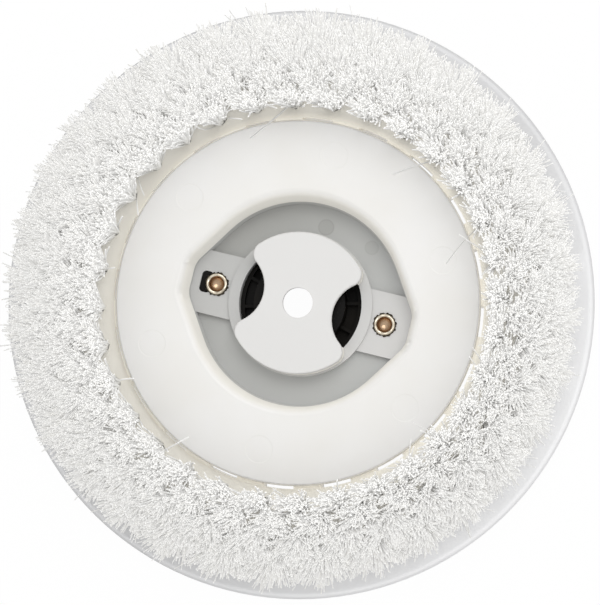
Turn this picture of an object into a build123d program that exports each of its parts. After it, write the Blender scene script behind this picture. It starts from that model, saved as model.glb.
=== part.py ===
from build123d import *
from math import atan, cos, degrees, hypot, pi, radians, sin
import os

os.makedirs("parts", exist_ok=True)

# A round scrubbing brush for a rotary floor machine, lying on its back with its bristles up.
# +Z runs along the axis of rotation towards the bristle tips, +X runs through the two rivets,
# and the origin is where the axis meets the surface that the brush lies on. Millimetres.

# ---- block: one plastic moulding
block_diameter = 304.8
ring_thickness = 18.0
rim_chamfer = 3.5
plate_radius = 94.5
plate_rise = 6.0
plate_thickness = 5.0
plate_edge_chamfer = 1.2
skirt_thickness = 4.0

# recess in the plate, round with two ears for the rivets
recess_radius = 52.5
recess_draft = 8.0
recess_rim_chamfer = 3.5
recess_wall = 4.5
recess_floor_thickness = 3.0
ear_overhang = 5.0
ear_corner_radius = 11.0
ear_corner_spacing = 9.5

# through slots between the plate and the ring, with a rib behind each bridge between them
slot_count = 20
slot_phase = 7.8
slot_sweep = 9.6
slot_opening = 1.5
rib_thickness = 3.0

# hub cup in the middle of the recess, with an arm to each ear
cup_bore_radius = 32.0
collar_radius = 37.6
collar_rise = 5.0
disc_radius = 36.8
disc_rise = 17.0
disc_thickness = 3.0
disc_edge_chamfer = 0.7
centre_hole_radius = 7.8
scallop_radius = 19.5
scallop_distance = 38.0
horn_fillet = 6.5
arm_width = 33.0
arm_rise = 3.5

# ---- drive coupling: one black moulding behind the block
flange_thickness = 6.0
flange_radius = 51.0
lug_radius = 12.0
spigot_wall = 2.0
spigot_rise = 2.0
spigot_clearance = 0.3
web_thickness = 4.0
sleeve_radius = 23.8
sleeve_height = 18.0
socket_radius = 17.0
keyway_count = 3
keyway_width = 7.0
keyway_depth = 3.0
spoke_count = 12
spoke_thickness = 1.6
spoke_rise = 4.0
boss_clearance = 0.3
boss_setback = 0.7

# ---- tubular rivets
rivet_distance = 90.2
rivet_shank_radius = 4.1
rivet_clearance = 0.15
rivet_bore_radius = 3.2
rivet_bore_depth = 6.0
rivet_head_radius = 7.0
rivet_head_thickness = 1.6
counterbore_depth = 2.0
counterbore_clearance = 0.4
roll_radius = 6.6
roll_edge = 0.6
roll_height = 1.9
roll_crown_radius = 5.2
rivet_hole_radius = 5.0
key_length = 6.0
key_width = 11.3
key_corner_radius = 2.2
key_offset = 5.8

# ---- tufts: bundles of filaments stapled into blind holes, four staggered rows
row_names = ["inner", "second", "third", "outer"]
sector_count = 4
tufts_per_sector = 8
tuft_phase = 3.5
gutter_share = 0.173
margin_share = 0.482
inner_lean = -1.5
outer_lean = 21.0
trim_length = 38.0
hole_share = 0.334
hole_floor = 5.0
strand_count = 6
strand_notch_share = 0.72
tuft_clearance = 0.2
tip_share = 0.613
anchor_height = 2.5
anchor_thickness = 0.5

# ---- levels and places that follow from the sizes above
back_level = flange_thickness
face_level = back_level + ring_thickness
trim_level = face_level + trim_length
plate_level = face_level + plate_rise
floor_level = back_level + recess_floor_thickness
arm_level = floor_level + arm_rise
collar_level = floor_level + collar_rise
disc_level = floor_level + disc_rise
block_radius = block_diameter / 2
ear_reach = recess_radius + ear_overhang
rivet_x = rivet_distance / 2
tufts_per_row = sector_count * tufts_per_sector
row_count = len(row_names)
hole_depth = ring_thickness - hole_floor
ring_width = block_radius - plate_radius
inner_row_radius = plate_radius + gutter_share * ring_width
outer_row_radius = block_radius - margin_share * ring_width
row_pitch = (outer_row_radius - inner_row_radius) / (row_count - 1)
tuft_spacing = hypot(row_pitch, pi * inner_row_radius / tufts_per_row)
hole_radius = hole_share * tuft_spacing
tuft_tip_radius = tip_share * tuft_spacing


def row_radius(row):
    """Radius of a row of tufts, measured at the face of the ring."""
    return inner_row_radius + row * row_pitch


def row_lean(row):
    """Outward lean of a row, growing evenly from the inside."""
    return inner_lean + (outer_lean - inner_lean) * row / (row_count - 1)


def draw_tuft(tip_radius):
    """Star across a tuft: its points are strands of filaments, with a notch between each two."""
    corners = []
    for corner in range(2 * strand_count):
        reach = tip_radius * (strand_notch_share if corner % 2 else 1)
        corners.append(Vector(reach, 0).rotate(Axis.Z, corner * 180 / strand_count))
    Polygon(*corners, align=None)


def row_phase(row):
    """Angle of a row's first tuft: every other row is set half a pitch round."""
    return tuft_phase + (row % 2) * 180 / tufts_per_row


def tuft_plane(row, along):
    """Plane across a tuft's axis, in the +X direction, at a distance along it from the ring's face."""
    lean = radians(row_lean(row))
    axis = (sin(lean), 0, cos(lean))
    foot = Vector(row_radius(row), 0, face_level)
    return Plane(foot + Vector(axis) * along, x_dir=(cos(lean), 0, -sin(lean)), z_dir=axis)


def draw_recess(grow):
    """The recess's outline at its floor, or a line that runs a set distance outside it."""
    Circle(recess_radius + grow)
    with GridLocations(2 * (ear_reach - ear_corner_radius), ear_corner_spacing, 2, 2):
        Circle(ear_corner_radius + grow)
    make_hull()


def draw_rivet_holes(shrink):
    """A round hole for each rivet, and at -X the key pocket that it runs into."""
    with Locations((-rivet_x, 0), (rivet_x, 0)):
        Circle(rivet_hole_radius - shrink)
    with Locations((-rivet_x - key_offset, 0)):
        RectangleRounded(key_length - 2 * shrink, key_width - 2 * shrink, key_corner_radius - shrink)


def draw_ring_sector(inner, outer, sweep):
    """A piece of a flat ring, centred on the +X direction."""
    with BuildLine() as edge:
        inside = CenterArc((0, 0), inner, -sweep / 2, sweep)
        outside = CenterArc((0, 0), outer, -sweep / 2, sweep)
        Line(inside @ 0, outside @ 0)
        Line(inside @ 1, outside @ 1)
    make_face(edge.edges())


# ---- shapes cut out of the block
tuft_holes = []
for row in range(row_count):
    with BuildPart() as hole:
        with BuildSketch(tuft_plane(row, -hole_depth)):
            RegularPolygon(hole_radius, strand_count)
        extrude(amount=hole_depth + hole_radius)
    tuft_holes.append(hole.part)

with BuildSketch() as recess_wall_line:
    draw_recess(recess_wall)

with BuildSketch() as slot_shape:
    draw_ring_sector(plate_radius - skirt_thickness, plate_radius + slot_opening, slot_sweep)


# ---- brush block
with BuildPart() as brush_block:
    with BuildSketch(Plane.XY.offset(back_level)):
        Circle(block_radius)
    extrude(amount=ring_thickness)
    chamfer(brush_block.edges().group_by(Axis.Z)[-1], length=rim_chamfer)
    with BuildSketch(Plane.XY.offset(face_level)):
        Circle(plate_radius)
    extrude(amount=plate_rise)
    chamfer(brush_block.edges().group_by(Axis.Z)[-1], length=plate_edge_chamfer)

    # recess, wider at its mouth
    with BuildSketch(Plane.XY.offset(floor_level)):
        draw_recess(0)
    extrude(amount=plate_level - floor_level, taper=-recess_draft, mode=Mode.SUBTRACT)
    plate_top = brush_block.faces().sort_by(Axis.Z)[-1]
    chamfer(plate_top.inner_wires().edges(), length=recess_rim_chamfer)

    # collar, disc with its two scallops, and arms
    with BuildSketch(Plane.XY.offset(floor_level)):
        Circle(collar_radius)
    extrude(amount=collar_rise)
    with BuildSketch(Plane.XY.offset(floor_level)):
        Rectangle(2 * ear_reach + recess_wall, arm_width)
    extrude(amount=arm_rise)
    with BuildSketch(Plane.XY.offset(collar_level)) as disc_outline:
        Circle(disc_radius)
        with Locations((-scallop_distance, 0), (scallop_distance, 0)):
            Circle(scallop_radius, mode=Mode.SUBTRACT)
        fillet(disc_outline.vertices(), radius=horn_fillet)
    extrude(amount=disc_level - collar_level)
    disc_top = brush_block.faces(Select.LAST).sort_by(Axis.Z)[-1]
    chamfer(disc_top.edges(), length=disc_edge_chamfer)
    with BuildSketch(Plane.XY.offset(back_level)):
        Circle(cup_bore_radius)
    extrude(amount=disc_level - disc_thickness - back_level, mode=Mode.SUBTRACT)
    with Locations((0, 0, disc_level)):
        Hole(centre_hole_radius, depth=disc_thickness)

    # rivet holes, with the pocket at -X for the coupling's key
    with BuildSketch(Plane.XY.offset(back_level)):
        draw_rivet_holes(0)
    extrude(amount=arm_level - back_level, mode=Mode.SUBTRACT)

    # hollow back of the plate, divided by radial ribs
    with BuildSketch(Plane.XY.offset(back_level)):
        Circle(plate_radius - skirt_thickness)
        add(recess_wall_line.sketch, mode=Mode.SUBTRACT)
        with PolarLocations(plate_radius / 2, slot_count, start_angle=slot_phase + 180 / slot_count):
            Rectangle(plate_radius, rib_thickness, mode=Mode.SUBTRACT)
    extrude(amount=plate_level - plate_thickness - back_level, mode=Mode.SUBTRACT)

    # slots
    with BuildSketch(Plane.XY.offset(back_level)):
        with PolarLocations(0, slot_count, start_angle=slot_phase):
            add(slot_shape.sketch)
    extrude(amount=ring_thickness, mode=Mode.SUBTRACT)

    # tuft holes
    for row, tuft_hole in enumerate(tuft_holes):
        with PolarLocations(0, tufts_per_row, start_angle=row_phase(row)):
            add(tuft_hole, mode=Mode.SUBTRACT)
brush_block.part.label = "brush_block"
export_step(brush_block.part, "parts/brush_block.step")


# ---- drive coupling
trough_radius = cup_bore_radius - spigot_clearance - spigot_wall
trough_width = trough_radius - sleeve_radius

with BuildPart() as drive_coupling:
    with BuildSketch():
        Circle(flange_radius)
        with Locations((-rivet_x, 0), (rivet_x, 0)):
            Circle(lug_radius)
        make_hull()
    extrude(amount=flange_thickness)

    # spigot that centres the coupling in the cup, and the trough inside it
    with BuildSketch(Plane.XY.offset(flange_thickness)):
        Circle(trough_radius + spigot_wall)
    extrude(amount=spigot_rise)
    with BuildSketch(Plane.XY.offset(web_thickness)):
        Circle(trough_radius)
        Circle(sleeve_radius, mode=Mode.SUBTRACT)
    extrude(amount=flange_thickness + spigot_rise - web_thickness, mode=Mode.SUBTRACT)

    # spokes across the trough
    with BuildSketch(Plane.XY.offset(web_thickness)):
        with PolarLocations(sleeve_radius + trough_width / 2, spoke_count, start_angle=180 / spoke_count):
            Rectangle(trough_width + spigot_wall, spoke_thickness)
    extrude(amount=spoke_rise)

    # sleeve with the keyed drive socket
    with BuildSketch():
        Circle(sleeve_radius)
    extrude(amount=sleeve_height)
    with BuildSketch():
        Circle(socket_radius)
        with PolarLocations(socket_radius, keyway_count, start_angle=90):
            Rectangle(2 * keyway_depth, keyway_width)
    extrude(amount=sleeve_height, mode=Mode.SUBTRACT)

    # bosses and key that stand in the block's rivet holes, bored for the rivets
    with BuildSketch(Plane.XY.offset(flange_thickness)):
        draw_rivet_holes(boss_clearance)
    extrude(amount=arm_level - boss_setback - flange_thickness)
    with BuildSketch():
        with Locations((-rivet_x, 0), (rivet_x, 0)):
            Circle(rivet_shank_radius + rivet_clearance)
    extrude(amount=arm_level, mode=Mode.SUBTRACT)
    with BuildSketch():
        with Locations((-rivet_x, 0), (rivet_x, 0)):
            Circle(rivet_head_radius + counterbore_clearance)
    extrude(amount=counterbore_depth, mode=Mode.SUBTRACT)
drive_coupling.part.label = "drive_coupling"
export_step(drive_coupling.part, "parts/drive_coupling.step")


# ---- rivets, with the head under the coupling and the tube rolled over on the arm
roll_top = arm_level + roll_height

with BuildPart() as rivet:
    with BuildSketch(Plane.XZ):
        with BuildLine():
            Polyline(
                (0, roll_top - rivet_bore_depth),
                (0, counterbore_depth - rivet_head_thickness),
                (rivet_head_radius, counterbore_depth - rivet_head_thickness),
                (rivet_head_radius, counterbore_depth),
                (rivet_shank_radius, counterbore_depth),
                (rivet_shank_radius, arm_level),
                (roll_radius, arm_level),
                (roll_radius, arm_level + roll_edge),
                (roll_crown_radius, roll_top),
                (rivet_bore_radius, roll_top),
                (rivet_bore_radius, roll_top - rivet_bore_depth),
                close=True,
            )
        make_face()
    revolve()

with BuildPart() as rivets:
    with Locations((-rivet_x, 0), (rivet_x, 0)):
        add(rivet.part)
rivets.part.label = "rivets"
export_step(rivets.part, "parts/rivets.step")


# ---- tufts, pinched at the root, spreading outward and trimmed level, and the wire anchors under them
half_strand = radians(180 / strand_count)
tuft_root_radius = hole_radius - tuft_clearance
anchor_length = 2 * hole_radius * cos(half_strand) - 2 * tuft_clearance
strand_flank = hypot(cos(half_strand) - strand_notch_share, sin(half_strand))
flank_share = strand_notch_share * sin(half_strand) / strand_flank
tuft_taper = degrees(atan((tuft_tip_radius - tuft_root_radius) * flank_share / trim_length))
buried_length = hole_depth - anchor_height
untrimmed_length = trim_length / cos(radians(outer_lean)) + tuft_tip_radius

with BuildPart() as bundle:
    with BuildSketch():
        draw_tuft(tuft_root_radius)
    extrude(amount=untrimmed_length, taper=-tuft_taper)
    extrude(bundle.faces().sort_by(Axis.Z)[0], amount=buried_length, taper=tuft_taper)

for row, row_name in enumerate(row_names):
    with BuildPart() as tuft:
        with Locations(tuft_plane(row, 0)):
            add(bundle.part)
        split(bisect_by=Plane.XY.offset(trim_level), keep=Keep.BOTTOM)
    with BuildPart() as anchor:
        with BuildSketch(tuft_plane(row, -hole_depth)):
            Rectangle(anchor_thickness, anchor_length)
        extrude(amount=anchor_height)

    for sector in range(sector_count):
        with BuildPart() as sector_tufts:
            with PolarLocations(
                0,
                tufts_per_sector,
                start_angle=row_phase(row) + sector * 360 / sector_count,
                angular_range=360 / sector_count,
            ):
                add(tuft.part)
        sector_tufts.part.label = f"tufts_{row_name}_{sector + 1}"
        export_step(sector_tufts.part, f"parts/{sector_tufts.part.label}.step")

    with BuildPart() as row_anchors:
        with PolarLocations(0, tufts_per_row, start_angle=row_phase(row)):
            add(anchor.part)
    row_anchors.part.label = f"anchors_{row_name}"
    export_step(row_anchors.part, f"parts/{row_anchors.part.label}.step")
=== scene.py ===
import math

import bmesh
import bpy
import numpy as np
from mathutils import Matrix, Vector


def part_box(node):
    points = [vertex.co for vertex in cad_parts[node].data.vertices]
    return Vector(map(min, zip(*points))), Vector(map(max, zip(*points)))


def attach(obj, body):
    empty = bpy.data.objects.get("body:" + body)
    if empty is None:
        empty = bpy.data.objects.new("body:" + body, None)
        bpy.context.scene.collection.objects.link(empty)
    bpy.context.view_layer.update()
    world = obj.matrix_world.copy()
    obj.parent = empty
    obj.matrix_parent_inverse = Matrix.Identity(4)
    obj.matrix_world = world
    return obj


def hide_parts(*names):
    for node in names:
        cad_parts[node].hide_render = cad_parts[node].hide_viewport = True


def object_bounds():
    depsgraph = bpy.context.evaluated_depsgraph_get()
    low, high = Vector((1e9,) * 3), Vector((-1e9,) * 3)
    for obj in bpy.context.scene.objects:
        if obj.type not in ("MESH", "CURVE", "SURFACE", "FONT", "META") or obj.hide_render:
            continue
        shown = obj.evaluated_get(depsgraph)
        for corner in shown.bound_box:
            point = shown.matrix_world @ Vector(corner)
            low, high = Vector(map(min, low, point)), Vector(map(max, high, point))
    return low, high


# A white scrubbing brush lying on its back, bristles up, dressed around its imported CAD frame.
# Metres, +Z along the axis of rotation, +X through the two rivets.

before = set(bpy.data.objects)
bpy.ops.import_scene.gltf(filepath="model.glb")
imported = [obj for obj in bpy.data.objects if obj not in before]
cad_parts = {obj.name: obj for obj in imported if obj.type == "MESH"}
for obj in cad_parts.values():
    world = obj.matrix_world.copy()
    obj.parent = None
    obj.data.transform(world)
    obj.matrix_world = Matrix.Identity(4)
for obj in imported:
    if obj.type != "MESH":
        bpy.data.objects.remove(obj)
cadBox = [list(corner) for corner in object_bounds()]
print("frame loaded:", len(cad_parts), "nodes")

mm = 0.001


# small helpers for shader nodes

def addNode(tree, kind, inputs=None, **settings):
    # one node, its settings, and its sockets: a link where the value is a socket, a constant otherwise
    node = tree.nodes.new(kind)
    for key, value in settings.items():
        setattr(node, key, value)
    for key, value in (inputs or {}).items():
        if isinstance(value, bpy.types.NodeSocket):
            tree.links.new(value, node.inputs[key])
        else:
            node.inputs[key].default_value = value
    return node


def mathNode(tree, operation, *values):
    # one arithmetic step on numbers
    return addNode(tree, "ShaderNodeMath", dict(enumerate(values)), operation=operation).outputs[0]


def addUp(tree, first, *others):
    # the sum of all the values
    for other in others:
        first = mathNode(tree, "ADD", first, other)
    return first


def multiply(tree, first, *others):
    # the product of all the values
    for other in others:
        first = mathNode(tree, "MULTIPLY", first, other)
    return first


def subtract(tree, first, second):
    # the first value less the second
    return mathNode(tree, "SUBTRACT", first, second)


def distance(tree, x, y):
    # the root of x squared plus y squared
    return mathNode(tree, "SQRT", addUp(tree, multiply(tree, x, x), multiply(tree, y, y)))


def mapRange(tree, value, ends, toLow=0.0, toHigh=1.0, smooth=False):
    # value carried from between two ends to between toLow and toHigh, held at both
    kind = "SMOOTHSTEP" if smooth else "LINEAR"
    inputs = {"Value": value, "From Min": ends[0], "From Max": ends[1], "To Min": toLow, "To Max": toHigh}
    return addNode(tree, "ShaderNodeMapRange", inputs, interpolation_type=kind).outputs["Result"]


def falling(tree, value, ends, smooth=False):
    # 1 below the first end, 0 above the second
    return mapRange(tree, value, ends, 1.0, 0.0, smooth)


def mixColour(tree, factor, first, second):
    # first where the factor is 0, second where it is 1
    return addNode(tree, "ShaderNodeMix", {0: factor, 6: first, 7: second}, data_type="RGBA").outputs[2]


def alongDirection(tree, parts, direction):
    # the distance from Z along a level direction, given as an angle from +X: x cos + y sin
    x = multiply(tree, parts[0], math.cos(direction))
    y = multiply(tree, parts[1], math.sin(direction))
    return addUp(tree, x, y)


def splitPlace(tree, place):
    # the three coordinates of a place
    return addNode(tree, "ShaderNodeSeparateXYZ", {"Vector": place}).outputs


def newGroup(name, inputs, outputs):
    # an empty node group and the sockets of its two end nodes: an input without a value is a vector, all
    # others are numbers
    tree = bpy.data.node_groups.new(name, "ShaderNodeTree")
    for label, value in inputs.items():
        kind = "NodeSocketVector" if value is None else "NodeSocketFloat"
        socket = tree.interface.new_socket(name=label, in_out="INPUT", socket_type=kind)
        if value is not None:
            socket.default_value = value
    for label in outputs:
        tree.interface.new_socket(name=label, in_out="OUTPUT", socket_type="NodeSocketFloat")
    return tree, tree.nodes.new("NodeGroupInput").outputs, tree.nodes.new("NodeGroupOutput").inputs


def useGroup(tree, group, inputs):
    # a shared effect placed in a material with its own values
    return addNode(tree, "ShaderNodeGroup", inputs, node_tree=group).outputs


def newMaterial(name):
    # a material with its Principled shader, and the object's own coordinates
    material = bpy.data.materials.new(name)
    material.use_nodes = True
    tree = material.node_tree
    shader = tree.nodes["Principled BSDF"]
    place = tree.nodes.new("ShaderNodeTexCoord").outputs["Object"]
    return material, tree, shader, place


mottleRange = (0.3, 0.7)   # where the slow waves mostly lie


def setRoughness(tree, shader, skin, ends):
    # roughness follows the slow waves from one end to the other
    tree.links.new(mapRange(tree, skin["Mottle"], mottleRange, *ends), shader.inputs["Roughness"])


def addBump(tree, height, bump):
    # the normal of a surface with this height on it
    inputs = {"Height": height, "Strength": bump["strength"], "Distance": bump["distance"]}
    return addNode(tree, "ShaderNodeBump", inputs).outputs[0]


def makeGrainGroup():
    # moulded skin: a fine even grain, and slow waves of sink and flow. Height is the grain's share plus the
    # waves, Mottle is the waves alone
    tree, given, result = newGroup(
        "mouldedSkin",
        {"Place": None, "Grain Scale": 1800.0, "Wave Scale": 35.0, "Grain Share": 0.5},
        ["Height", "Mottle"],
    )
    heights = []
    for scale, detail in (("Grain Scale", 2.0), ("Wave Scale", 3.0)):
        inputs = {"Vector": given["Place"], "Scale": given[scale], "Detail": detail}
        heights.append(addNode(tree, "ShaderNodeTexNoise", inputs).outputs[0])
    grain, wave = heights
    tree.links.new(addUp(tree, multiply(tree, grain, given["Grain Share"]), wave), result["Height"])
    tree.links.new(wave, result["Mottle"])
    return tree


roundMarkShape = {
    "edge": 0.3 * mm,        # half the width over which a mark fades out
    "rimWidth": 0.6 * mm,
    "levelReach": 2 * mm,    # a mark shows only this near to its level
}


def makeRoundMarkGroup():
    # round witness marks repeated about Z. The angle is wrapped into one share of the turn, which brings
    # every mark onto the same spot, and Mark runs from 1 inside the spot's radius to 0 outside it. Rim is a
    # thin ring at its edge
    shape = roundMarkShape
    tree, given, result = newGroup(
        "roundMarks",
        {"Place": None, "Count": 6.0, "Phase": 0.0, "Ring Radius": 78 * mm, "Mark Radius": 7 * mm,
         "Level": 30 * mm},
        ["Mark", "Rim"],
    )
    x, y, z = splitPlace(tree, given["Place"])[:3]
    reach = distance(tree, x, y)
    half = mathNode(tree, "DIVIDE", math.pi, given["Count"])
    turn = subtract(tree, mathNode(tree, "ARCTAN2", y, x), given["Phase"])
    turn = mathNode(tree, "WRAP", turn, half, multiply(tree, half, -1.0))
    across = multiply(tree, reach, mathNode(tree, "SINE", turn))
    along = subtract(tree, multiply(tree, reach, mathNode(tree, "COSINE", turn)), given["Ring Radius"])
    away = subtract(tree, distance(tree, across, along), given["Mark Radius"])
    fromLevel = mathNode(tree, "ABSOLUTE", subtract(tree, z, given["Level"]))
    near = mathNode(tree, "LESS_THAN", fromLevel, shape["levelReach"])
    mark = falling(tree, away, (-shape["edge"], shape["edge"]), smooth=True)
    rim = falling(tree, mathNode(tree, "ABSOLUTE", away), (0.0, shape["rimWidth"]), smooth=True)
    tree.links.new(multiply(tree, mark, near), result["Mark"])
    tree.links.new(multiply(tree, rim, near), result["Rim"])
    return tree


grainGroup = makeGrainGroup()
roundMarkGroup = makeRoundMarkGroup()

# heights are over the block's back and reaches are from the axis, each with the two ends of its change
blockFinish = {
    "skin": {"Grain Scale": 1500.0, "Wave Scale": 28.0, "Grain Share": 0.35},
    "colour": (0.75, 0.742, 0.725, 1),
    "warmColour": (0.73, 0.718, 0.69, 1),
    "warmMottle": (0.35, 0.7),
    "roughness": (0.31, 0.43),
    "ior": 1.49,
    "grainLift": 0.10,
    "bump": {"strength": 0.5, "distance": 0.3 * mm},
    "darkSide": math.radians(150),           # direction about Z from the lit side towards the side painted darker
    "shadeSide": math.radians(194),          # side on which the plate's edge is least lit
    "frontHeight": (8 * mm, 12 * mm),        # above this is the front, below it the back

    "recessReach": (60 * mm, 63 * mm),
    "wallLightColour": (0.82, 0.80, 0.745, 1),    # wall round the recess, painted lighter and warmer than the plate as light in the recess
    "wallHeight": (20.5 * mm, 23 * mm),
    "wallLean": 0.45,                        # how far the wall's normals lean upwards
    "padPaintedShade": (0.56, 0.555, 0.545, 1),    # raised pads and collar on the recess floor, painted darker as shade
    # the same painted darker still on the dark side
    "padDeepShade": (0.43, 0.43, 0.42, 1),
    "armHeight": (8.2 * mm, 9.2 * mm),
    "armSides": (-45 * mm, 45 * mm),         # from the lit side to the side painted darker, as are the other sides
    "webPaintedShade": (0.43, 0.435, 0.425, 1),    # thin floor of the recess, painted darker as shade
    "webDeepShade": (0.31, 0.31, 0.295, 1),      # the same painted darker still on the dark side
    "webHeight": (3.1 * mm, 3.4 * mm),
    "webSides": (5 * mm, 50 * mm),
    "discShadeColour": (0.64, 0.634, 0.622, 1),   # bridge over the socket, painted darker as shade
    "discHeight": (16 * mm, 17 * mm),
    "discReach": (37 * mm, 38 * mm),

    "ringLightColour": (0.90, 0.87, 0.79, 1),     # the ring between the slots and the outer tufts, painted warm and lighter as light bounced from the filaments into their shadow
    "ringStart": (93.9 * mm, 94.4 * mm),
    "ringEnd": (128 * mm, 142 * mm),
    "rimLitCopy": (0.80, 0.80, 0.805, 1),     # outer margin of the ring, painted lit copy on the lit side
    "rimDarkCopy": (0.60, 0.60, 0.605, 1),      # painted shaded copy on the dark side
    "rimReach": (130 * mm, 144 * mm),
    "rimSides": (-150 * mm, -30 * mm),

    "paintedEdgeGlow": (0.22, 0.207, 0.18, 1),      # painted glow, an emission that lifts the shade at the plate's edge and in the slots
    "glowStart": (93.6 * mm, 94.4 * mm),
    "glowEnd": (96 * mm, 99 * mm),
    "glowHeight": (1 * mm, 6 * mm),
    "glowSides": (-60 * mm, 90 * mm),        # towards the side that is least lit
    "faceGlow": (1.0, 0.1),                  # amounts on the lit and on the least lit side
    "footReach": (95.0 * mm, 96.2 * mm),
    "footGlow": 1.6,                         # further amount at the plate's foot
    "slotHeight": (11 * mm, 17.9 * mm),
    "slotGlow": 1.9,                         # further amount down in the slots

    "plateMarks": {"Count": 6.0, "Phase": math.radians(29.5), "Ring Radius": 78 * mm, "Mark Radius": 7 * mm},
    "plateMarkRim": 0.35,
    "plateMarkDepth": 0.5,
    "floorLevel": 3 * mm,
    "floorMarks": [
        {"Phase": math.radians(86), "Ring Radius": 42.4 * mm, "Mark Radius": 4 * mm},
        {"Phase": math.radians(52.5), "Ring Radius": 47.2 * mm, "Mark Radius": 3.5 * mm},
    ],
    "floorMarkStrengths": (0.5, 0.25),
}


def makeBlockMaterial():
    # white moulded plastic in zones, by the distance from the axis and the height over the block's back, with
    # painted light and shade: the recess floor, pads and bridge are painted darker as shade, darker still on
    # one side; the recess wall and the ring are painted lighter and warm; the ring's outer margin has painted
    # lit and shaded copies; and the plate's edge and slots have a painted glow. It has ejector marks and a
    # fine skin
    material, tree, shader, place = newMaterial("whiteMouldedPlastic")
    finish = blockFinish
    skin = useGroup(tree, grainGroup, {"Place": place, **finish["skin"]})
    low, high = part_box("brush_block")
    parts = splitPlace(tree, place)
    height = subtract(tree, parts[2], low.z)
    reach = distance(tree, parts[0], parts[1])
    # distance towards the side painted darker, for the painted shade across the recess and the rim
    aside = alongDirection(tree, parts, finish["darkSide"])
    shaded = alongDirection(tree, parts, finish["shadeSide"])
    inside = falling(tree, reach, finish["recessReach"])
    front = mapRange(tree, height, finish["frontHeight"])
    warm = mapRange(tree, skin["Mottle"], finish["warmMottle"])
    colour = mixColour(tree, warm, finish["colour"], finish["warmColour"])

    # the recess: its wall painted lighter, the pads and collar and the thin floor painted darker as shade and
    # darker still on the dark side, the floor's marks, and the bridge over the socket painted darker as shade
    recess = multiply(tree, falling(tree, height, finish["wallHeight"], smooth=True), inside)
    colour = mixColour(tree, recess, colour, finish["wallLightColour"])
    raised = multiply(tree, falling(tree, height, finish["armHeight"], smooth=True), inside)
    armSide = mapRange(tree, aside, finish["armSides"])
    paintedPadShade = mixColour(tree, armSide, finish["padPaintedShade"], finish["padDeepShade"])
    colour = mixColour(tree, raised, colour, paintedPadShade)
    thin = multiply(tree, falling(tree, height, finish["webHeight"], smooth=True), inside)
    webSide = mapRange(tree, aside, finish["webSides"])
    paintedWebShade = mixColour(tree, webSide, finish["webPaintedShade"], finish["webDeepShade"])
    colour = mixColour(tree, thin, colour, paintedWebShade)
    floorLevel = low.z + finish["floorLevel"]
    # ejector marks on the recess floor, drawn in the floor's deeper painted shade tone
    for values, strength in zip(finish["floorMarks"], finish["floorMarkStrengths"]):
        inputs = {"Place": place, "Count": 1.0, "Level": floorLevel, **values}
        floorMark = useGroup(tree, roundMarkGroup, inputs)
        dark = multiply(tree, addUp(tree, floorMark["Rim"], floorMark["Mark"]), strength)
        colour = mixColour(tree, multiply(tree, dark, thin), colour, finish["webDeepShade"])
    bridge = mapRange(tree, height, finish["discHeight"])
    bridge = multiply(tree, bridge, falling(tree, reach, finish["discReach"]))
    colour = mixColour(tree, bridge, colour, finish["discShadeColour"])

    # the ring painted warm and lighter, and its outer margin in painted lit and shaded copies, on the front
    # alone
    band = multiply(tree, mapRange(tree, reach, finish["ringStart"]), falling(tree, reach, finish["ringEnd"]))
    colour = mixColour(tree, multiply(tree, band, front), colour, finish["ringLightColour"])
    rimSide = mapRange(tree, aside, finish["rimSides"])
    paintedRimLight = mixColour(tree, rimSide, finish["rimLitCopy"], finish["rimDarkCopy"])
    rim = multiply(tree, mapRange(tree, reach, finish["rimReach"]), front)
    colour = mixColour(tree, rim, colour, paintedRimLight)

    # the plate's marks, and what the skin does to gloss and normals
    plateMarks = useGroup(tree, roundMarkGroup, {"Place": place, "Level": high.z, **finish["plateMarks"]})
    markRim = multiply(tree, plateMarks["Rim"], finish["plateMarkRim"])
    colour = mixColour(tree, markRim, colour, finish["warmColour"])
    tree.links.new(colour, shader.inputs["Base Color"])
    setRoughness(tree, shader, skin, finish["roughness"])
    grain = multiply(tree, skin["Height"], finish["grainLift"])
    lift = subtract(tree, grain, multiply(tree, plateMarks["Mark"], finish["plateMarkDepth"]))
    bump = addBump(tree, lift, finish["bump"])
    lean = addNode(tree, "ShaderNodeCombineXYZ", {"Z": multiply(tree, recess, finish["wallLean"])}).outputs[0]
    leant = addNode(tree, "ShaderNodeVectorMath", {0: bump, 1: lean}, operation="ADD").outputs[0]
    normal = addNode(tree, "ShaderNodeVectorMath", {0: leant}, operation="NORMALIZE").outputs[0]
    tree.links.new(normal, shader.inputs["Normal"])
    shader.inputs["IOR"].default_value = finish["ior"]

    # the painted glow at the plate's edge, an emission against its shade, stronger at its foot and down in
    # the slots
    edge = multiply(tree, mapRange(tree, reach, finish["glowStart"]), falling(tree, reach, finish["glowEnd"]))
    edge = multiply(tree, edge, mapRange(tree, height, finish["glowHeight"]))
    onFace = mapRange(tree, shaded, finish["glowSides"], *finish["faceGlow"])
    atFoot = mapRange(tree, reach, finish["footReach"], finish["footGlow"], 0.0)
    inSlot = mapRange(tree, height, finish["slotHeight"], finish["slotGlow"], 0.0)
    amount = multiply(tree, edge, addUp(tree, onFace, atFoot, inSlot))
    glow = mixColour(tree, amount, (0, 0, 0, 1), finish["paintedEdgeGlow"])
    tree.links.new(glow, shader.inputs["Emission Color"])
    shader.inputs["Emission Strength"].default_value = 1.0
    return material


couplingFinish = {
    "skin": {"Grain Scale": 900.0, "Wave Scale": 60.0, "Grain Share": 0.8},
    "colour": (0.0030, 0.0024, 0.0018, 1),
    "dustColour": (0.009, 0.0075, 0.0055, 1),
    "dustMottle": (0.45, 0.75),
    "roughness": (0.4, 0.62),
    "specular": 0.12,
    "bump": {"strength": 0.4, "distance": 0.2 * mm},
}


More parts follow.
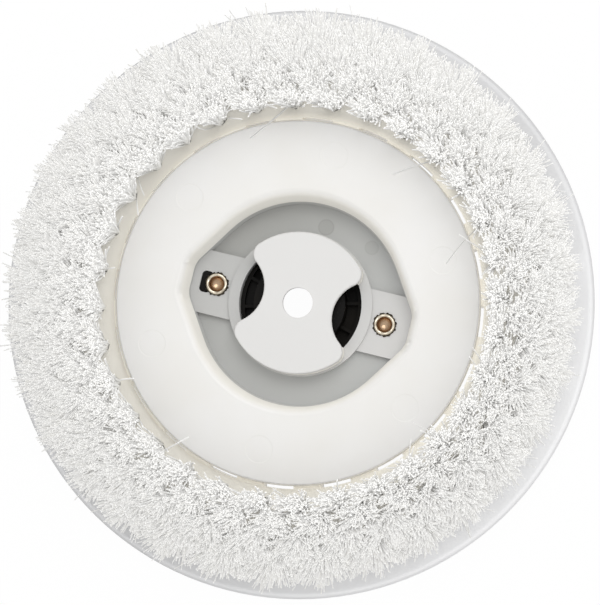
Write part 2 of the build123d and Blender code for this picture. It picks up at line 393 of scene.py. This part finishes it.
def makeCouplingMaterial():
    # black moulded plastic with a dull skin, a little dusty in slow patches
    material, tree, shader, place = newMaterial("blackMouldedPlastic")
    finish = couplingFinish
    skin = useGroup(tree, grainGroup, {"Place": place, **finish["skin"]})
    dust = mapRange(tree, skin["Mottle"], finish["dustMottle"])
    colour = mixColour(tree, dust, finish["colour"], finish["dustColour"])
    tree.links.new(colour, shader.inputs["Base Color"])
    setRoughness(tree, shader, skin, finish["roughness"])
    tree.links.new(addBump(tree, skin["Height"], finish["bump"]), shader.inputs["Normal"])
    shader.inputs["Specular IOR Level"].default_value = finish["specular"]
    return material


rivetFinish = {
    "skin": {"Grain Scale": 1200.0, "Wave Scale": 420.0, "Grain Share": 0.6},
    "plateColour": (0.66, 0.60, 0.49, 1),
    "tarnishColour": (0.40, 0.33, 0.25, 1),
    "tarnishMottle": (0.48, 0.72),
    "copperColour": (0.42, 0.30, 0.20, 1),
    "boreReach": (3.8 * mm, 4.1 * mm),       # from the rivet's own axis
    "skirtColour": (0.12, 0.10, 0.075, 1),
    "skirtReach": (5.35 * mm, 5.6 * mm),
    "roughness": (0.20, 0.43),
    "bump": {"strength": 0.35, "distance": 0.2 * mm},
}


def rivetCentres():
    # the middles of the two round heads, each half a head's width in from its end of the node's box
    low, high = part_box("rivets")
    headRadius = (high.y - low.y) / 2
    return low.x + headRadius, high.x - headRadius


def makeRivetMaterial():
    # plated tube: bright on the roll, copper brown down the bore, brown at the torn skirt, tarnish in slow
    # patches. The zones go by the distance from the rivet's own axis, the same for both because X is taken
    # without its sign
    material, tree, shader, place = newMaterial("platedRivetMetal")
    finish = rivetFinish
    skin = useGroup(tree, grainGroup, {"Place": place, **finish["skin"]})
    parts = splitPlace(tree, place)
    fromCentre = subtract(tree, mathNode(tree, "ABSOLUTE", parts[0]), rivetCentres()[1])
    reach = distance(tree, fromCentre, parts[1])
    bore = falling(tree, reach, finish["boreReach"], smooth=True)
    skirt = mapRange(tree, reach, finish["skirtReach"], smooth=True)
    tarnish = mapRange(tree, skin["Mottle"], finish["tarnishMottle"])
    colour = mixColour(tree, tarnish, finish["plateColour"], finish["tarnishColour"])
    colour = mixColour(tree, bore, colour, finish["copperColour"])
    colour = mixColour(tree, skirt, colour, finish["skirtColour"])
    tree.links.new(colour, shader.inputs["Base Color"])
    shader.inputs["Metallic"].default_value = 1.0
    setRoughness(tree, shader, skin, finish["roughness"])
    tree.links.new(addBump(tree, skin["Height"], finish["bump"]), shader.inputs["Normal"])
    return material


anchorFinish = {
    "skin": {"Grain Scale": 2600.0, "Wave Scale": 700.0, "Grain Share": 0.7},
    "colour": (0.55, 0.55, 0.54, 1),
    "tarnishColour": (0.28, 0.26, 0.23, 1),
    "tarnishMottle": (0.4, 0.7),
    "heightRange": (0.3, 1.2),               # the skin's lowest and highest parts
    "roughness": (0.25, 0.5),                # on them
}


def makeAnchorMaterial():
    # drawn steel wire, finely mottled
    material, tree, shader, place = newMaterial("drawnSteelWire")
    finish = anchorFinish
    skin = useGroup(tree, grainGroup, {"Place": place, **finish["skin"]})
    tarnish = mapRange(tree, skin["Mottle"], finish["tarnishMottle"])
    colour = mixColour(tree, tarnish, finish["colour"], finish["tarnishColour"])
    tree.links.new(colour, shader.inputs["Base Color"])
    shader.inputs["Metallic"].default_value = 1.0
    roughness = mapRange(tree, skin["Height"], finish["heightRange"], *finish["roughness"])
    tree.links.new(roughness, shader.inputs["Roughness"])
    return material


filamentFinish = {
    "skin": {"Grain Scale": 3000.0, "Wave Scale": 260.0, "Grain Share": 0.5},
    "rootColour": (0.88, 0.86, 0.80, 1),
    "tipColour": (0.92, 0.913, 0.893, 1),
    "tipWay": (0.05, 0.75),                  # the way along over which root turns to tip
    "dullColour": (0.85, 0.835, 0.79, 1),
    "dullTone": (0.55, 1.0),                 # filaments with a higher tone are duller
    "dullMottle": (0.2, 0.8),
    "roughness": (0.28, 0.44),
    "ior": 1.5,
    "passing": 0.965,                        # share of the light that goes on through a clear filament
}


def makeFilamentMaterial():
    # clear white filament: warmer towards the root, each with its own tone, finely mottled along its
    # length. Rays other than the camera's pass through it in part, as light does through a thin clear
    # filament
    material, tree, shader, place = newMaterial("whiteFilament")
    finish = filamentFinish
    along = addNode(tree, "ShaderNodeAttribute", attribute_name="along").outputs["Fac"]
    tone = addNode(tree, "ShaderNodeAttribute", attribute_name="tone").outputs["Fac"]
    skin = useGroup(tree, grainGroup, {"Place": place, **finish["skin"]})
    nearTip = mapRange(tree, along, finish["tipWay"])
    colour = mixColour(tree, nearTip, finish["rootColour"], finish["tipColour"])
    dullMottle = mapRange(tree, skin["Mottle"], finish["dullMottle"])
    dull = multiply(tree, mapRange(tree, tone, finish["dullTone"]), dullMottle)
    colour = mixColour(tree, dull, colour, finish["dullColour"])
    tree.links.new(colour, shader.inputs["Base Color"])
    setRoughness(tree, shader, skin, finish["roughness"])
    shader.inputs["IOR"].default_value = finish["ior"]
    clear = tree.nodes.new("ShaderNodeBsdfTransparent")
    seen = addNode(tree, "ShaderNodeLightPath").outputs["Is Camera Ray"]
    passing = mapRange(tree, seen, (0.0, 1.0), finish["passing"], 0.0)
    mix = addNode(tree, "ShaderNodeMixShader", {0: passing, 1: shader.outputs[0], 2: clear.outputs[0]})
    tree.links.new(mix.outputs[0], tree.nodes["Material Output"].inputs["Surface"])
    return material


blockMaterial = makeBlockMaterial()
couplingMaterial = makeCouplingMaterial()
rivetMaterial = makeRivetMaterial()
anchorMaterial = makeAnchorMaterial()
filamentMaterial = makeFilamentMaterial()
print("materials made")


# small helpers for meshes

def makePiece(name, points, faces, material):
    # a smooth mesh object at the origin, from an array of points and a list of arrays of faces, each array
    # with its own number of corners
    mesh = bpy.data.meshes.new(name)
    sizes = np.concatenate([np.full(len(part), part.shape[1]) for part in faces])
    corners = np.concatenate([part.reshape(-1) for part in faces]).astype(np.int32)
    starts = np.concatenate([[0], np.cumsum(sizes)[:-1]]).astype(np.int32)
    mesh.vertices.add(len(points))
    mesh.vertices.foreach_set("co", np.asarray(points, np.float32).reshape(-1))
    mesh.loops.add(len(corners))
    mesh.loops.foreach_set("vertex_index", corners)
    mesh.polygons.add(len(sizes))
    mesh.polygons.foreach_set("loop_start", starts)
    mesh.polygons.foreach_set("use_smooth", np.full(len(sizes), True))
    mesh.update(calc_edges=True)
    mesh.validate()
    mesh.materials.append(material)
    piece = bpy.data.objects.new(name, mesh)
    bpy.context.scene.collection.objects.link(piece)
    return piece


def addPointValue(piece, name, values):
    # one number for each point, for the material to read
    attribute = piece.data.attributes.new(name, "FLOAT", "POINT")
    attribute.data.foreach_set("value", np.asarray(values, np.float32).reshape(-1))


softCopyValues = {
    "mergeReach": 0.002 * mm,
    "flatAngle": math.radians(0.4),   # faces nearer than this to one plane become one face
    "areaWeight": 90,
}


def softCopy(nodeName, pieceName, material, sharpAngle):
    # a merged copy of a CAD node, shaded smooth except across edges sharper than an angle, with each
    # corner's normal weighted by the area of the faces around it, so that a chamfer shades as a round
    values = softCopyValues
    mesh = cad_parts[nodeName].data.copy()
    mesh.name = pieceName
    work = bmesh.new()
    work.from_mesh(mesh)
    bmesh.ops.remove_doubles(work, verts=work.verts, dist=values["mergeReach"])
    bmesh.ops.dissolve_limit(work, angle_limit=values["flatAngle"], verts=work.verts, edges=work.edges,
                             use_dissolve_boundaries=False)
    for edge in work.edges:
        edge.smooth = len(edge.link_faces) == 2 and edge.calc_face_angle(0) < sharpAngle
    for face in work.faces:
        face.smooth = True
    work.to_mesh(mesh)
    work.free()
    mesh.materials.clear()
    mesh.materials.append(material)
    piece = bpy.data.objects.new(pieceName, mesh)
    bpy.context.scene.collection.objects.link(piece)
    weighted = piece.modifiers.new("evenShading", "WEIGHTED_NORMAL")
    weighted.keep_sharp = True
    weighted.weight = values["areaWeight"]
    return piece


# block and coupling

blockShape = {
    "sharpAngle": math.radians(62),
    "draft": 3.2 * mm,       # how far the foot of the rim's side is drawn in
    "edgeReach": 0.2 * mm,   # points this near to the outermost or the lowest count as on the rim's foot
}
couplingShape = {"sharpAngle": math.radians(50)}


def draftRim(piece):
    # the outermost points at the back of the block are drawn in, so that its side has a moulding's draft
    shape = blockShape
    points = np.zeros(len(piece.data.vertices) * 3, np.float32)
    piece.data.vertices.foreach_get("co", points)
    points = points.reshape(-1, 3)
    reach = np.hypot(points[:, 0], points[:, 1])
    outermost = reach > reach.max() - shape["edgeReach"]
    lowest = points[:, 2] < points[:, 2].min() + shape["edgeReach"]
    rim = outermost & lowest
    points[rim, :2] *= (1 - shape["draft"] / reach[rim])[:, None]
    piece.data.vertices.foreach_set("co", points.reshape(-1))
    piece.data.update()


blockPiece = softCopy("brush_block", "mouldedBlock", blockMaterial, blockShape["sharpAngle"])
draftRim(blockPiece)
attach(blockPiece, "root")
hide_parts("brush_block")

couplingPiece = softCopy("drive_coupling", "driveCoupling", couplingMaterial, couplingShape["sharpAngle"])
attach(couplingPiece, "root")
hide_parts("drive_coupling")
print("block and coupling dressed")


# rivets

rivetShape = {
    "steps": 96,
    "tipRadius": 0.02 * mm,        # the small holes on the axis, closed by a fan
    "headEdge": 0.4 * mm,          # chamfer of the flat head
    "headHeight": 1.6 * mm,
    "shankRadius": 4.1 * mm,
    "armDrop": 1.9 * mm,           # from the rivet's top down to the arm that it holds
    "skirtRadius": 6.6 * mm,
    "skirtHeight": 0.5 * mm,
    "skirtRound": 0.1 * mm,
    "tear": 0.9 * mm,              # depth of the tears in the skirt round the lip
    "tearWaves": (13, 3, 5),
    "tearSwing": 1.5,
    "lipRadius": 5.6 * mm,         # outside of the bright rolled lip
    "lipPoints": 11,
    "lipFlatness": 0.7,            # power of the lip's half circle, below 1 flattens its top
    "ripple": 0.16 * mm,           # unevenness of the lip
    "rippleWaves": (3, 7),
    "rippleDrop": 1.6,             # keeps the highest ripple at the rivet's top
    "boreRadius": 3.9 * mm,
    "boreDepth": 5.5 * mm,
    "boreRadii": (3.75 * mm, 2.6 * mm, 0.9 * mm),   # down the bore, each at its share of the depth
    "boreShares": (0.7, 0.9, 1.0, 1.02),
}


def rivetProfile():
    # the rivet's profile from the middle of its head up to the lip, over it and down the bore: radius,
    # level, and the shares of tear and ripple at each point. The lip is half a circle, flattened on top
    shape = rivetShape
    low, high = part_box("rivets")
    head, shank, skirt = (high.y - low.y) / 2, shape["shankRadius"], shape["skirtRadius"]
    armLevel, shoulder = high.z - shape["armDrop"], low.z + shape["headHeight"]
    lipFoot = armLevel + shape["skirtHeight"]
    headRadii = [shape["tipRadius"], head - shape["headEdge"], head, head, shank, shank, skirt, skirt]
    headLevels = [low.z, low.z, low.z + shape["headEdge"], shoulder, shoulder, armLevel, armLevel,
                  lipFoot - shape["skirtRound"]]
    sweep = np.linspace(0, math.pi, shape["lipPoints"])
    half = (shape["lipRadius"] - shape["boreRadius"]) / 2
    lipRadii = shape["boreRadius"] + half * (1 + np.cos(sweep))
    lipLevels = lipFoot + (high.z - lipFoot) * np.sin(sweep) ** shape["lipFlatness"]
    boreLevels = high.z - shape["boreDepth"] * np.array(shape["boreShares"])
    radii = np.concatenate([headRadii, lipRadii, shape["boreRadii"], [shape["tipRadius"]]])
    levels = np.concatenate([headLevels, lipLevels, boreLevels])
    torn = np.where(radii == skirt, 1.0, 0.0)
    uneven = np.concatenate([np.zeros(len(headRadii)), np.sin(sweep), np.zeros(len(boreLevels))])
    return radii[:, None], levels[:, None], torn[:, None], uneven[:, None]


def makeRivets():
    # each rivet is its profile turned about its own axis. The lip is slowly uneven round the turn, a sum of
    # two sines, and the skirt under it has a torn edge, one sine bent by a second and swelled by a third
    shape = rivetShape
    radii, levels, torn, uneven = rivetProfile()
    turn = np.linspace(0, 2 * math.pi, shape["steps"], endpoint=False)
    rings, steps = len(radii), len(turn)
    ring, step = np.meshgrid(np.arange(rings - 1), np.arange(steps), indexing="ij")
    tearWave, bendWave, swellWave = shape["tearWaves"]
    firstRipple, secondRipple = shape["rippleWaves"]
    points, faces = [], []
    for index, centre in enumerate(rivetCentres()):
        bent = tearWave * turn + 2.1 * index + shape["tearSwing"] * np.sin(bendWave * turn)
        tears = 0.5 + 0.5 * np.sin(bent) * np.cos(swellWave * turn + index)
        wobble = np.sin(firstRipple * turn + index) + 0.6 * np.sin(secondRipple * turn + 2 * index)
        reach = radii - torn * shape["tear"] * tears
        x = centre + reach * np.cos(turn)
        y = reach * np.sin(turn)
        z = levels - uneven * shape["ripple"] * (shape["rippleDrop"] + wobble)
        points.append(np.stack([x, y, z], -1).reshape(-1, 3))
        start = index * rings * steps
        here = start + ring * steps + step
        following = start + ring * steps + (step + 1) % steps
        faces.append(np.stack([here, following, following + steps, here + steps], -1).reshape(-1, 4))
        fan = np.arange(1, steps - 1)
        bottom = np.stack([np.zeros_like(fan), fan + 1, fan], -1) + start
        top = np.stack([np.zeros_like(fan), fan, fan + 1], -1) + start + (rings - 1) * steps
        faces += [bottom, top]
    return makePiece("tubularRivets", np.concatenate(points), faces, rivetMaterial)


rivetPiece = makeRivets()
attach(rivetPiece, "root")
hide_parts("rivets")
print("rivets made")

for nodeName in sorted(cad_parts):
    if nodeName.startswith("anchors_"):
        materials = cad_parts[nodeName].data.materials
        materials.clear()
        materials.append(anchorMaterial)
print("anchors dressed")


# tufts

tuftLayout = {
    "perNode": 8,
    "perRow": 32,
    "strands": 6,
    "faceDrop": 6 * mm,      # the ring's face, below the plate's
    "rounding": 6,           # decimals at which two corners are the same
}

filamentShape = {
    "sides": 3,
    "rings": 5,
    "glow": 1.8,             # lean of a filament's normals towards its tip
    "buried": 2.0 * mm,      # how far a filament starts below the block's face
    "strand": 0.09,          # how far the filaments draw together into strands
    "fill": 0.97,            # share of the tuft's radius that they fill
    "wildShare": 0.05,       # share of filaments that bend away from their tuft
    "wildSplay": (4.0 * mm, 4.5 * mm),
    "straySplay": (11 * mm, 8 * mm),
    "limit": 151.6 * mm,     # no filament reaches further from Z
    "bend": 1.35,            # power with which a filament's splay grows along it
    "curl": 0.7 * mm,
    "trim": 1.3 * mm,        # unevenness of the cut
    "thickness": 0.12,       # spread of the radius, as a share of it
    "thicknessLimit": 1.5,   # spreads beyond which it doesn't go
    "seed": 71,
}

# each row: the filaments in a tuft and their radius, the reach of their tips towards the axis and away from
# it as shares of the tip's radius, and round the row as a share of half way to the next tuft, a tip's
# random spread away from the axis and round it, and the share of long strays
rowShapes = {
    "inner": {"perTuft": 230, "radius": 0.44 * mm, "towards": 0.47, "away": 1.0, "round": 1.1,
              "splay": (1.9 * mm, 2.7 * mm), "strays": 0.008},
    "second": {"perTuft": 320, "radius": 0.38 * mm, "towards": 0.95, "away": 1.05, "round": 1.06,
               "splay": (1.4 * mm, 2.2 * mm), "strays": 0.001},
    "third": {"perTuft": 380, "radius": 0.33 * mm, "towards": 1.0, "away": 1.1, "round": 1.2,
              "splay": (1.2 * mm, 2.0 * mm), "strays": 0.0},
    "outer": {"perTuft": 400, "radius": 0.33 * mm, "towards": 1.1, "away": 1.08, "round": 1.3,
              "splay": (1.2 * mm, 2.0 * mm), "strays": 0.0},
}


def readTufts(nodeName):
    # each tuft is a cone with a star for its section, its foot square to its axis and its tip cut level.
    # Tufts are told apart by the gaps between their angles about Z, the corners of foot and tip by height,
    # the points of a star from its notches by reach, and the root is where the axis meets the block's face
    layout = tuftLayout
    strands, starCorners = layout["strands"], 2 * layout["strands"]
    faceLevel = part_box("brush_block")[1].z - layout["faceDrop"]
    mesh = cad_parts[nodeName].data
    corners = np.zeros(len(mesh.vertices) * 3, np.float32)
    mesh.vertices.foreach_get("co", corners)
    corners = np.unique(np.round(corners.reshape(-1, 3), layout["rounding"]), axis=0)
    angle = np.arctan2(corners[:, 1], corners[:, 0])
    order = np.argsort(angle)
    angle, corners = angle[order], corners[order]
    gaps = np.diff(np.concatenate([angle, [angle[0] + 2 * math.pi]]))
    corners = np.roll(corners, -int(np.argmax(gaps)) - 1, axis=0)
    cones = corners.reshape(layout["perNode"], 2 * starCorners, 3)
    cones = np.take_along_axis(cones, np.argsort(cones[:, :, 2], axis=1)[:, :, None], axis=1)
    bottomStar, tipStar = cones[:, :starCorners], cones[:, starCorners:]
    bottom, tip = bottomStar.mean(1), tipStar.mean(1)
    share = (faceLevel - bottom[:, 2:]) / (tip - bottom)[:, 2:]
    foot = bottom + (tip - bottom) * share
    bottomReach = np.sort(np.linalg.norm(bottomStar - bottom[:, None], axis=2), axis=1)
    tipReach = np.sort(np.linalg.norm(tipStar - tip[:, None], axis=2), axis=1)
    bottomRadius, tipRadius = bottomReach[:, strands:].mean(), tipReach[:, strands:].mean()
    notchShare = bottomReach[:, :strands].mean() / bottomRadius
    footRadius = bottomRadius + (tipRadius - bottomRadius) * share.mean()
    return foot, tip, footRadius, tipRadius, notchShare


def filamentPaths(rowShape, foot, tip, footRadius, tipRadius, notchShare, draw):
    # a filament runs from a spot in the root's star to the matching spot in the wider star of the tips,
    # moved by its own splay. The bearing of a spot is pulled towards the nearest strand by a sine of six
    # times the bearing. The offset from the tuft's axis grows with a power of the way along, a sideways
    # curl follows a half sine, and the end is cut level, lower by what the splay takes off the filament's
    # height
    shape, strands = filamentShape, tuftLayout["strands"]
    tufts, number, rings = len(foot), rowShape["perTuft"], shape["rings"]
    way = np.linspace(0, 1, rings)
    up = np.array([0, 0, 1.0])
    axis = tip - foot
    height = axis[:, 2]
    side = np.cross(up, foot)
    side /= np.linalg.norm(side, axis=1)[:, None]
    out = np.cross(side, up)

    # spots in the star, and which filaments are wild or stray
    spot = np.sqrt(draw.random((tufts, number))) * shape["fill"]
    bearing = draw.random((tufts, number)) * 2 * math.pi
    bearing = bearing - shape["strand"] * np.sin(strands * bearing)
    spot = spot * (1 - (1 - notchShare) * (0.5 - 0.5 * np.cos(strands * bearing)))
    wild = draw.random((tufts, number)) < shape["wildShare"]
    spreads = np.where(wild[..., None], shape["wildSplay"], rowShape["splay"])
    stray = draw.random((tufts, number)) < rowShape["strays"]
    splay = draw.normal(0, 1, (tufts, number, 2)) * np.where(stray[..., None], shape["straySplay"], spreads)
    disc = np.stack([np.cos(bearing), np.sin(bearing)], -1) * spot[..., None]
    halfWay = math.pi * np.linalg.norm(tip[:, :2], axis=1).mean() / tuftLayout["perRow"]
    outwards = np.where(disc[..., 0] < 0, rowShape["towards"], rowShape["away"]) * tipRadius
    spread = np.stack([outwards, np.full((tufts, number), rowShape["round"] * halfWay)], -1)
    footSpot = disc * footRadius
    tipSpot = disc * spread + splay

    # the way from foot to tip
    curl = draw.normal(0, 1, (tufts, number, 2)) * shape["curl"]
    bend = way ** shape["bend"]
    offset = footSpot[:, :, None, :] * (1 - bend)[:, None] + tipSpot[:, :, None, :] * bend[:, None]
    offset = offset + curl[:, :, None, :] * np.sin(way * math.pi)[:, None]
    shorten = (np.linalg.norm(splay, axis=-1) ** 2) / (2 * height[:, None])
    cut = 1 - (shorten + draw.random((tufts, number)) * shape["trim"]) / height[:, None]
    start = shape["buried"] / height[:, None]
    share = -start[..., None] + way * (cut + start)[..., None]
    path = foot[:, None, None, :] + axis[:, None, None, :] * share[..., None]
    path = path + out[:, None, None, :] * offset[..., :1] + side[:, None, None, :] * offset[..., 1:]
    path[..., :2] *= np.minimum(1, shape["limit"] / np.linalg.norm(path[..., :2], axis=-1))[..., None]
    return path.reshape(-1, rings, 3), np.repeat(out, number, 0), np.repeat(side, number, 0)


def filamentTubes(paths, out, side, radius):
    # a few corners round every point of every path, joined into walls of quads, and one face on each end.
    # Each corner's normal leans from straight out towards the tip, because light that enters a clear
    # filament from above comes out of its sides
    sides = filamentShape["sides"]
    number, rings = paths.shape[:2]
    corner = np.arange(sides) * 2 * math.pi / sides
    around = out[:, None, :] * np.cos(corner)[:, None] + side[:, None, :] * np.sin(corner)[:, None]
    points = paths[:, :, None, :] + around[:, None] * radius[:, None, None, None]
    heading = np.gradient(paths, axis=1)
    heading /= np.linalg.norm(heading, axis=2)[..., None]
    normals = around[:, None] + heading[:, :, None, :] * filamentShape["glow"]
    normals /= np.linalg.norm(normals, axis=3)[..., None]
    start = np.arange(number)[:, None] * rings * sides
    ring = start[:, None] + (np.arange(rings - 1) * sides)[None, :, None]
    here = ring + np.arange(sides)
    following = ring + (np.arange(sides) + 1) % sides
    walls = np.stack([here, following, following + sides, here + sides], -1)
    bottoms = start + np.arange(sides)[::-1]
    tops = start + (rings - 1) * sides + np.arange(sides)
    return points.reshape(-1, 3), [walls.reshape(-1, 4), bottoms, tops], normals.reshape(-1, 3)


def makeTuftPiece(nodeName, row, pieceName, draw):
    # all filaments of one node's tufts, with the way along and a random tone for the material
    paths, out, side = filamentPaths(rowShapes[row], *readTufts(nodeName), draw)
    number, rings = paths.shape[:2]
    limit, sides = filamentShape["thicknessLimit"], filamentShape["sides"]
    spread = draw.normal(0, 1, number).clip(-limit, limit)
    radius = rowShapes[row]["radius"] * (1 + filamentShape["thickness"] * spread)
    points, faces, normals = filamentTubes(paths, out, side, radius)
    piece = makePiece(pieceName, points, faces, filamentMaterial)
    piece.data.normals_split_custom_set_from_vertices(normals.tolist())
    way = np.broadcast_to(np.linspace(0, 1, rings)[None, :, None], (number, rings, sides))
    addPointValue(piece, "along", way)
    addPointValue(piece, "tone", np.repeat(draw.random(number), rings * sides))
    return piece


draw = np.random.default_rng(filamentShape["seed"])
for nodeName in sorted(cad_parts):
    if nodeName.startswith("tufts_"):
        row, sector = nodeName.split("_")[1:]
        piece = makeTuftPiece(nodeName, row, f"{row}Filaments{sector}", draw)
        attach(piece, "root")
        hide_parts(nodeName)
print("filaments made")


# floor, light and camera

stageValues = {
    "floorRadius": 3.0,
    "floorRings": 12,
    "floorSteps": 96,
    "floorGap": 0.05 * mm,       # below the brush
    "floorColour": (0.80, 0.80, 0.80, 1),
    "floorMottle": (0.83, 0.83, 0.82, 1),
    "mottleScale": 3.0,
    "mottleShare": 0.3,
    "floorRoughness": 0.8,
    "whiteShare": 0.975,         # share of plain white that the camera sees in the floor
    "worldStrength": 1.0,
    "lampPower": 10.0,
    "lampSize": 1.1,
    "lampPlace": (0.25, 0.75, 1.5),
    "bounces": 16,
    "diffuseBounces": 12,        # light among white filaments dies out slowly
    "transparentBounces": 24,
}


def seenRays(tree):
    # 1 for rays from the camera or by way of gloss or glass, which see plain white, 0 for those that light
    # the brush
    rays = addNode(tree, "ShaderNodeLightPath").outputs
    indirect = mathNode(tree, "MAXIMUM", rays["Is Glossy Ray"], rays["Is Transmission Ray"])
    return mathNode(tree, "MAXIMUM", rays["Is Camera Ray"], indirect)


def makeFloorMaterial():
    # pale grey with a faint mottle, mostly plain white to the camera, and the rest keeps the brush's shadow
    material, tree, shader, place = newMaterial("paleFloor")
    noise = addNode(tree, "ShaderNodeTexNoise", {"Scale": stageValues["mottleScale"], "Vector": place})
    mottle = mapRange(tree, noise.outputs[0], mottleRange, 0.0, stageValues["mottleShare"])
    colour = mixColour(tree, mottle, stageValues["floorColour"], stageValues["floorMottle"])
    tree.links.new(colour, shader.inputs["Base Color"])
    shader.inputs["Roughness"].default_value = stageValues["floorRoughness"]
    white = addNode(tree, "ShaderNodeEmission", {"Color": (1, 1, 1, 1), "Strength": 1.0})
    share = multiply(tree, seenRays(tree), stageValues["whiteShare"])
    mix = addNode(tree, "ShaderNodeMixShader", {0: share, 1: shader.outputs[0], 2: white.outputs[0]})
    tree.links.new(mix.outputs[0], tree.nodes["Material Output"].inputs["Surface"])
    return material


def makeFloor():
    # a disc of rings, finer towards the middle, just under the brush
    turn = np.linspace(0, 2 * math.pi, stageValues["floorSteps"], endpoint=False)
    radii = stageValues["floorRadius"] * np.linspace(0.01, 1, stageValues["floorRings"]) ** 2
    steps = len(turn)
    x, y = radii[:, None] * np.cos(turn), radii[:, None] * np.sin(turn)
    level = np.full_like(x, cadBox[0][2] - stageValues["floorGap"])
    points = np.stack([x, y, level], -1).reshape(-1, 3)
    ring, step = np.meshgrid(np.arange(len(radii) - 1), np.arange(steps), indexing="ij")
    here, following = ring * steps + step, ring * steps + (step + 1) % steps
    walls = np.stack([here, here + steps, following + steps, following], -1).reshape(-1, 4)
    fan = np.arange(1, steps - 1)
    middle = np.stack([np.zeros_like(fan), fan, fan + 1], -1)
    makePiece("paleFloorDisc", points, [walls, middle], makeFloorMaterial())


def makeLight():
    # an even white surround, plain white to the camera, and one large lamp from above and behind
    world = bpy.data.worlds.new("studio")
    bpy.context.scene.world = world
    world.use_nodes = True
    tree = world.node_tree
    tree.nodes.clear()
    strength = mapRange(tree, seenRays(tree), (0.0, 1.0), stageValues["worldStrength"], 1.0)
    surround = addNode(tree, "ShaderNodeBackground", {"Color": (1, 1, 1, 1), "Strength": strength})
    tree.links.new(surround.outputs[0], addNode(tree, "ShaderNodeOutputWorld").inputs["Surface"])
    lamp = bpy.data.lights.new("softbox", "AREA")
    lamp.energy = stageValues["lampPower"]
    lamp.size = stageValues["lampSize"]
    holder = bpy.data.objects.new("softbox", lamp)
    bpy.context.scene.collection.objects.link(holder)
    holder.location = stageValues["lampPlace"]
    holder.rotation_euler = (-Vector(stageValues["lampPlace"])).to_track_quat("-Z", "Y").to_euler()


cameraValues = {
    "distance": 1.7,
    "tilt": 7.4,              # degrees off the axis of rotation
    "towards": -18.0,         # the side that it leans to, in degrees from +X
    "upwards": 104.0,         # the direction that points up in the picture
    "viewWidth": 312.4 * mm,
    "aim": (0.8 * mm, 0.3 * mm),   # right and up of the axis
    "aimLevel": 22 * mm,
    "clip": (0.01, 20),
}


def makeCamera():
    # the camera stands back along its own axis from the point that it looks at, and its up direction is
    # turned until it stands square to that axis
    values = cameraValues
    tilt, towards, upwards = (math.radians(values[key]) for key in ("tilt", "towards", "upwards"))
    back = Vector((math.sin(tilt) * math.cos(towards), math.sin(tilt) * math.sin(towards), math.cos(tilt)))
    up = Vector((math.cos(upwards), math.sin(upwards), 0))
    up = (up - back * up.dot(back)).normalized()
    right = up.cross(back)
    lens = bpy.data.cameras.new("studioCamera")
    camera = bpy.data.objects.new("studioCamera", lens)
    bpy.context.scene.collection.objects.link(camera)
    target = Vector((0, 0, values["aimLevel"])) + right * values["aim"][0] + up * values["aim"][1]
    turned = Matrix((right, up, back)).transposed().to_4x4()
    camera.matrix_world = Matrix.Translation(target + back * values["distance"]) @ turned
    lens.lens = lens.sensor_width * values["distance"] / values["viewWidth"]
    lens.clip_start, lens.clip_end = values["clip"]
    bpy.context.scene.camera = camera


makeFloor()
makeLight()
makeCamera()
bpy.context.scene.view_settings.view_transform = "Standard"
bpy.context.scene.cycles.max_bounces = stageValues["bounces"]
bpy.context.scene.cycles.diffuse_bounces = stageValues["diffuseBounces"]
bpy.context.scene.cycles.transparent_max_bounces = stageValues["transparentBounces"]
print("stage set")
